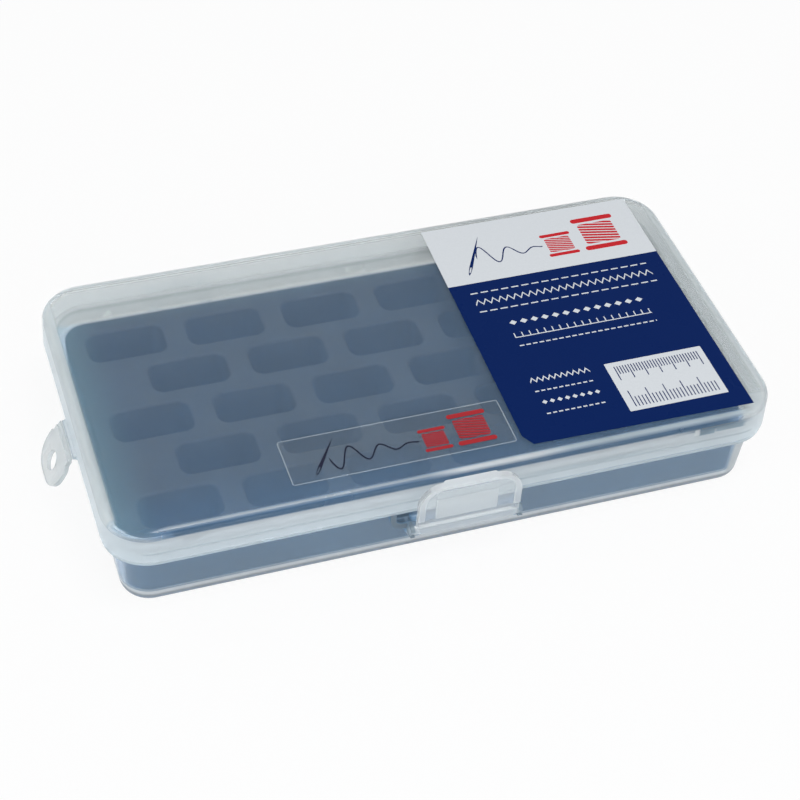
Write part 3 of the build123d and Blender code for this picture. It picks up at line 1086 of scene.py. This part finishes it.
TUB_ZONES = (
    # the wall in front of the foam and behind it
    Zone(0.25, (0.34, 0.62, 0.94), 0.08, y=(-OPEN, 10.0), z=(-OPEN, 18.6), soften=3.0),
    Zone(0.25, (0.34, 0.62, 0.94), 0.08, y=(8.5, OPEN), z=(-OPEN, 16.8), soften=3.0),
    # the flange and the rim over it, frosted, with a painted line of shade under the rim's top and
    # a pale line along its top
    Zone(0.52, (0.80, 0.86, 0.88), 0.26, z=(18.8, OPEN), soften=0.4),
    Zone(0.60, (0.46, 0.52, 0.55), 0.20, z=(21.8, 22.8)),
    Zone(0.62, (0.92, 0.95, 0.96), 0.20, z=(23.0, OPEN), soften=0.3),
    # the foot: a pale line, a painted line of shade under it, and the clear round edge under them
    Zone(0.70, (0.92, 0.97, 1.00), 0.22, z=(-OPEN, 4.8), soften=0.7),
    Zone(0.58, (0.44, 0.50, 0.56), 0.22, z=(-OPEN, 3.3), soften=0.8),
    Zone(0.12, (0.94, 0.97, 0.98), 0.12, z=(-OPEN, 1.5), soften=0.8),
    # the floor
    Zone(0.20, (0.28, 0.56, 0.92), 0.08, x=(-OPEN, 80.0), y=(-38.0, 38.0), z=(-OPEN, 2.0)),
    # the opening beside the guard, painted dark for the shade inside it, and the latch's lugs
    Zone(
        0.58, (0.14, 0.22, 0.31), 0.14, x=(11.8, 16.4), y=(-46.2, -43.4), z=(11.0, 18.5),
        end=End.LEFT,
    ),
    Zone(0.56, (0.33, 0.41, 0.47), 0.26, x=(-OPEN, 22.0), y=LUGS, z=(11.0, 18.3)),
    Zone(0.54, (0.74, 0.80, 0.84), 0.26, x=(-OPEN, 22.0), y=LUGS, z=(7.0, 11.0)),
    # the wall of the right end
    Zone(
        0.62, (0.80, 0.85, 0.88), 0.24, x=(79.6, OPEN), z=(3.3, 18.8), soften=2.0, fade=1.6,
        end=End.RIGHT,
    ),
)
LID_ZONES = (
    # the panel's borders: painted light at the front and the left end, where light comes in through
    # the walls, a border at the back, and the milky ones at the right and back
    Zone(0.19, (0.28, 0.54, 0.90), 0.08, y=(-OPEN, -37.0), z=PANEL, soften=11.0),
    Zone(0.16, (0.42, 0.80, 0.98), 0.08, y=(31.0, OPEN), z=PANEL, soften=6.0),
    Zone(
        0.19, (0.42, 0.80, 1.00), 0.10, x=(81.0, OPEN), y=(-OPEN, 36.0), z=PANEL, soften=6.0,
        fade=10.0, end=End.LEFT,
    ),
    Zone(0.19, (0.66, 0.70, 0.70), 0.12, x=(78.0, OPEN), end=End.RIGHT),
    Zone(0.20, (0.80, 0.84, 0.84), 0.12, y=(31.1, OPEN)),
    # the outer edges of both ends and of the back
    Zone(0.36, (0.78, 0.84, 0.85), 0.18, x=(86.6, OPEN), y=(-41.0, OPEN), soften=3.0),
    Zone(0.44, (0.84, 0.89, 0.89), 0.34, y=(44.4, OPEN), soften=0.8),
    Zone(0.76, (1.00, 1.00, 1.00), 0.34, y=(45.8, OPEN), soften=0.6),
    # the front edge: a dark line painted for the dark foam seen through it, and painted highlights
    # over it
    Zone(0.78, (0.065, 0.15, 0.27), 0.26, x=(-OPEN, 77.0), y=FRONT_EDGE, z=(27.6, OPEN), fade=7.0),
    Zone(
        0.48, (0.72, 0.82, 0.90), 0.26, x=(-OPEN, 78.0), y=(-46.45, -45.5), z=(29.0, OPEN),
        soften=0.6, fade=6.0,
    ),
    front_right(
        0.60, (0.84, 0.96, 1.00), (0.0, 90.0), (28.6, OPEN), 30.0, y=(-46.65, -45.45), soften=0.7,
        roughness=0.26,
    ),
    front_right(
        0.84, (0.98, 1.00, 1.00), (-4.0, 25.0), (28.6, OPEN), 10.0, y=(-46.7, -45.7), soften=0.6,
        roughness=0.26,
    ),
    # the front right corner, and the skirt
    Zone(
        0.42, (0.78, 0.83, 0.85), 0.24, x=(79.5, OPEN), y=(-OPEN, -40.0), soften=2.0, fade=3.0,
        end=End.RIGHT,
    ),
    Zone(0.46, (0.85, 0.91, 0.95), 0.24, z=(-OPEN, 27.6)),
    # painted dark and bright reflections at the right of the skirt's front
    front_right(0.60, (0.10, 0.20, 0.31), (62.0, 79.0), (26.7, 28.0), 9.0),
    front_right(0.60, (0.20, 0.31, 0.40), (70.3, 79.0), (25.5, 27.4), 1.4),
    front_right(0.54, (0.20, 0.32, 0.42), (66.0, 70.4), (25.2, 27.2), 0.6),
    front_right(0.60, (0.95, 0.99, 1.00), (64.5, 65.9), (25.5, 27.5), 0.5),
    # the skirt's lines: painted lines of shade where the rim's top lies behind it and along the
    # seam at its foot, a darker band right of the middle, and the catch's pad
    Zone(0.36, (0.66, 0.75, 0.80), 0.20, y=SKIRT_FRONT, z=(22.7, 23.3)),
    front_right(
        0.42, (0.64, 0.74, 0.80), (18.0, 52.0), (22.8, 24.4), 12.0, y=SKIRT_FRONT, soften=0.9,
        roughness=0.20,
    ),
    front_right(
        0.52, (0.38, 0.48, 0.56), (10.0, OPEN), (-OPEN, 20.4), 8.0, y=SKIRT_FRONT, roughness=0.20,
    ),
    Zone(0.66, (0.90, 0.93, 0.95), 0.30, x=(-OPEN, 10.2), y=(-OPEN, -47.7), z=(15.0, 23.0)),
)
LATCH_ZONES = (
    # the rib, the foot, the lip, and the dull sides beside the barrel
    Zone(0.54, (0.95, 0.98, 1.00), 0.14, y=(-OPEN, -50.35), soften=0.2),
    Zone(0.42, (0.88, 0.93, 0.96), 0.14, z=(-OPEN, 14.9)),
    Zone(0.56, (0.94, 0.97, 0.99), 0.16, z=(28.4, OPEN)),
    Zone(0.56, (0.46, 0.54, 0.60), 0.26, x=(15.6, OPEN), z=(-OPEN, 16.0), end=End.RIGHT),
    Zone(0.56, (0.46, 0.54, 0.60), 0.26, x=(12.4, OPEN), z=(-OPEN, 16.0), end=End.LEFT),
)


@dataclass
class Mouldings:
    """The clear plastic parts: tub, lid, latch and hang tab, as packed, with their finishes."""

    tub: ClearMoulding = ClearMoulding(
        "tub_plastic", TUB_ZONES, haze=0.27, haze_tint=(0.70, 0.78, 0.82)
    )
    lid: ClearMoulding = ClearMoulding("lid_plastic", LID_ZONES, haze_tint=(0.255, 0.51, 0.88))
    latch: ClearMoulding = ClearMoulding(
        "latch_plastic", LATCH_ZONES, haze=0.22, haze_tint=(0.90, 0.94, 0.97), roughness=0.05
    )
    tab: ClearMoulding = ClearMoulding(
        "tab_plastic",
        (Zone(0.40, (0.80, 0.84, 0.85), 0.12, y=(-5.0, 5.0), z=(-OPEN, 14.0)),),
        haze=0.50,
        haze_tint=(0.82, 0.86, 0.87),
        roughness=0.18,
    )

    def dress(self) -> list[bpy.types.Object]:
        """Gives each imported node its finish.

        Returns:
            The nodes that were dressed.
        """
        finishes = {"base": self.tub, "lid": self.lid, "latch": self.latch, "hang_tab": self.tab}
        dressed = []
        for node, finish in finishes.items():
            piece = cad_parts[node]
            material = finish.material()
            if piece.data.materials:
                for index in range(len(piece.data.materials)):
                    piece.data.materials[index] = material
            else:
                piece.data.materials.append(material)
            dressed.append(piece)
        return dressed


# ---------------------------------------------------------------- studio and camera


@dataclass(frozen=True)
class Lamp:
    """A soft box lamp: its place, its width and height, and its power in watts."""

    name: str
    place: Point
    size: Pair
    power: float


@dataclass
class Studio:
    """Pale floor, soft lamps and an even room."""

    floor_half: float = 6.0
    floor_drop: float = 0.05 * MM
    room: float = 0.55
    daylight: tuple[float, float, float, float] = (0.97, 0.985, 1.0, 1.0)
    ceiling: float = 0.55
    dimming: Pair = (0.30, 0.62)
    aim: Point = (0.0, 0.0, 0.01)
    lamps: tuple[Lamp, ...] = (
        Lamp("key", (0.10, -0.22, 0.90), (0.32, 0.22), 2.7),
        Lamp("left", (-0.75, -0.20, 0.40), (0.40, 0.50), 1.6),
        Lamp("front", (0.35, -0.80, 0.35), (0.50, 0.30), 1.6),
    )

    def build(self) -> None:
        """Builds the floor, the room and the lamps."""
        self.build_floor()
        self.build_room()
        for lamp in self.lamps:
            self.hang(lamp)

    def build_floor(self) -> None:
        """Lays the floor just under the base."""
        side = self.floor_half
        corners = np.array([(-side, -side), (side, -side), (side, side), (-side, side)])
        points = np.column_stack([corners, np.full(4, -self.floor_drop)])
        mesh = bpy.data.meshes.new("floor")
        mesh.from_pydata(points.tolist(), [], [(0, 1, 2, 3)])
        floor = bpy.data.objects.new("floor", mesh)
        bpy.context.scene.collection.objects.link(floor)
        mesh.materials.append(FloorPaint("floor_paint").material())

    def build_room(self) -> None:
        """Lights the scene evenly, and shows a white backdrop that dims towards the ceiling.

        The backdrop is seen past the floor, in reflections and through the plastic. Its
        strength falls with the height of the direction, from 1 down to the ceiling's.
        """
        s = Sketch(bpy.data.worlds.new("room"))
        direction = s.node("ShaderNodeTexCoord").outputs["Generated"]
        height = s.node("ShaderNodeSeparateXYZ", Vector=direction).outputs[2]
        glow = s.ramp(height, *self.dimming, 1.0, self.ceiling)
        lit = s.shader("ShaderNodeBackground", Color=self.daylight, Strength=self.room)
        seen = s.shader("ShaderNodeBackground", Strength=glow)
        bpy.context.scene.world = s.finish(s.shader_mix(s.seen_share(), lit, seen))

    def hang(self, lamp: Lamp) -> None:
        """Hangs a lamp in its place and turns its face to the aim."""
        data = bpy.data.lights.new(lamp.name, "AREA")
        data.shape = "RECTANGLE"
        data.size, data.size_y = lamp.size
        data.energy = lamp.power
        hung = bpy.data.objects.new(lamp.name, data)
        hung.location = lamp.place
        hung.rotation_mode = "QUATERNION"
        way = Vector(self.aim) - Vector(lamp.place)
        hung.rotation_quaternion = way.to_track_quat("-Z", "Y")
        bpy.context.scene.collection.objects.link(hung)


@dataclass
class PhotoCamera:
    """The camera at the photograph's viewing angle, found from the box's own edges."""

    azimuth: float = -21.531
    elevation: float = 44.349
    roll: float = 4.534
    distance: float = 522.454 * MM
    target: Point = (-1.548 * MM, -4.487 * MM, 14.952 * MM)
    sensor: float = 36.0
    focal_pixels: float = 1934.777
    image_pixels: float = 800.0
    clip: Pair = (0.01, 20.0)

    def build(self) -> bpy.types.Object:
        """Sets the camera on its place and makes it the scene's own.

        Returns:
            The camera.
        """
        a, e, r = np.radians([self.azimuth, self.elevation, self.roll])
        back = Vector((np.sin(a) * np.cos(e), -np.cos(a) * np.cos(e), np.sin(e)))
        right = Vector((0, 0, 1)).cross(back).normalized()
        up = back.cross(right)
        turned_right = right * np.cos(r) + up * np.sin(r)
        turned_up = up * np.cos(r) - right * np.sin(r)
        data = bpy.data.cameras.new("photo_camera")
        data.sensor_width = self.sensor
        data.lens = self.sensor * self.focal_pixels / self.image_pixels
        data.clip_start, data.clip_end = self.clip
        camera = bpy.data.objects.new("photo_camera", data)
        turn = Matrix((turned_right, turned_up, back)).transposed().to_4x4()
        camera.matrix_world = Matrix.Translation(Vector(self.target) + back * self.distance) @ turn
        bpy.context.scene.collection.objects.link(camera)
        bpy.context.scene.camera = camera
        return camera


def main() -> None:
    """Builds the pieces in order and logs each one."""
    logging.basicConfig(level=logging.INFO, format="%(name)s: %(message)s")
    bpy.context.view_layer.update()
    bpy.context.scene.view_settings.view_transform = "Standard"
    PhotoCamera().build()
    Studio().build()
    for piece in Mouldings().dress():
        LOG.info("dressed %s", piece.name)
    slab = FoamInsert().build()
    LOG.info("built %s with %d faces", slab.name, len(slab.data.polygons))
    sheet = ThinSheet(
        "label", "label_paper", "printed_sheet", skew=1.1 * MM, cut=(2.0 * MM, 3.4 * MM)
    )
    strip = ThinSheet("clear_sticker", "sticker_film", "clear_strip", corner=0.8 * MM)
    for made, finish in (
        (sheet, PrintedSheetFinish("sheet_print")), (strip, PrintedFilmFinish("strip_print")),
    ):
        piece = made.build(finish.material())
        LOG.info("built %s with %d faces", piece.name, len(piece.data.polygons))


if __name__ == "__main__":
    main()
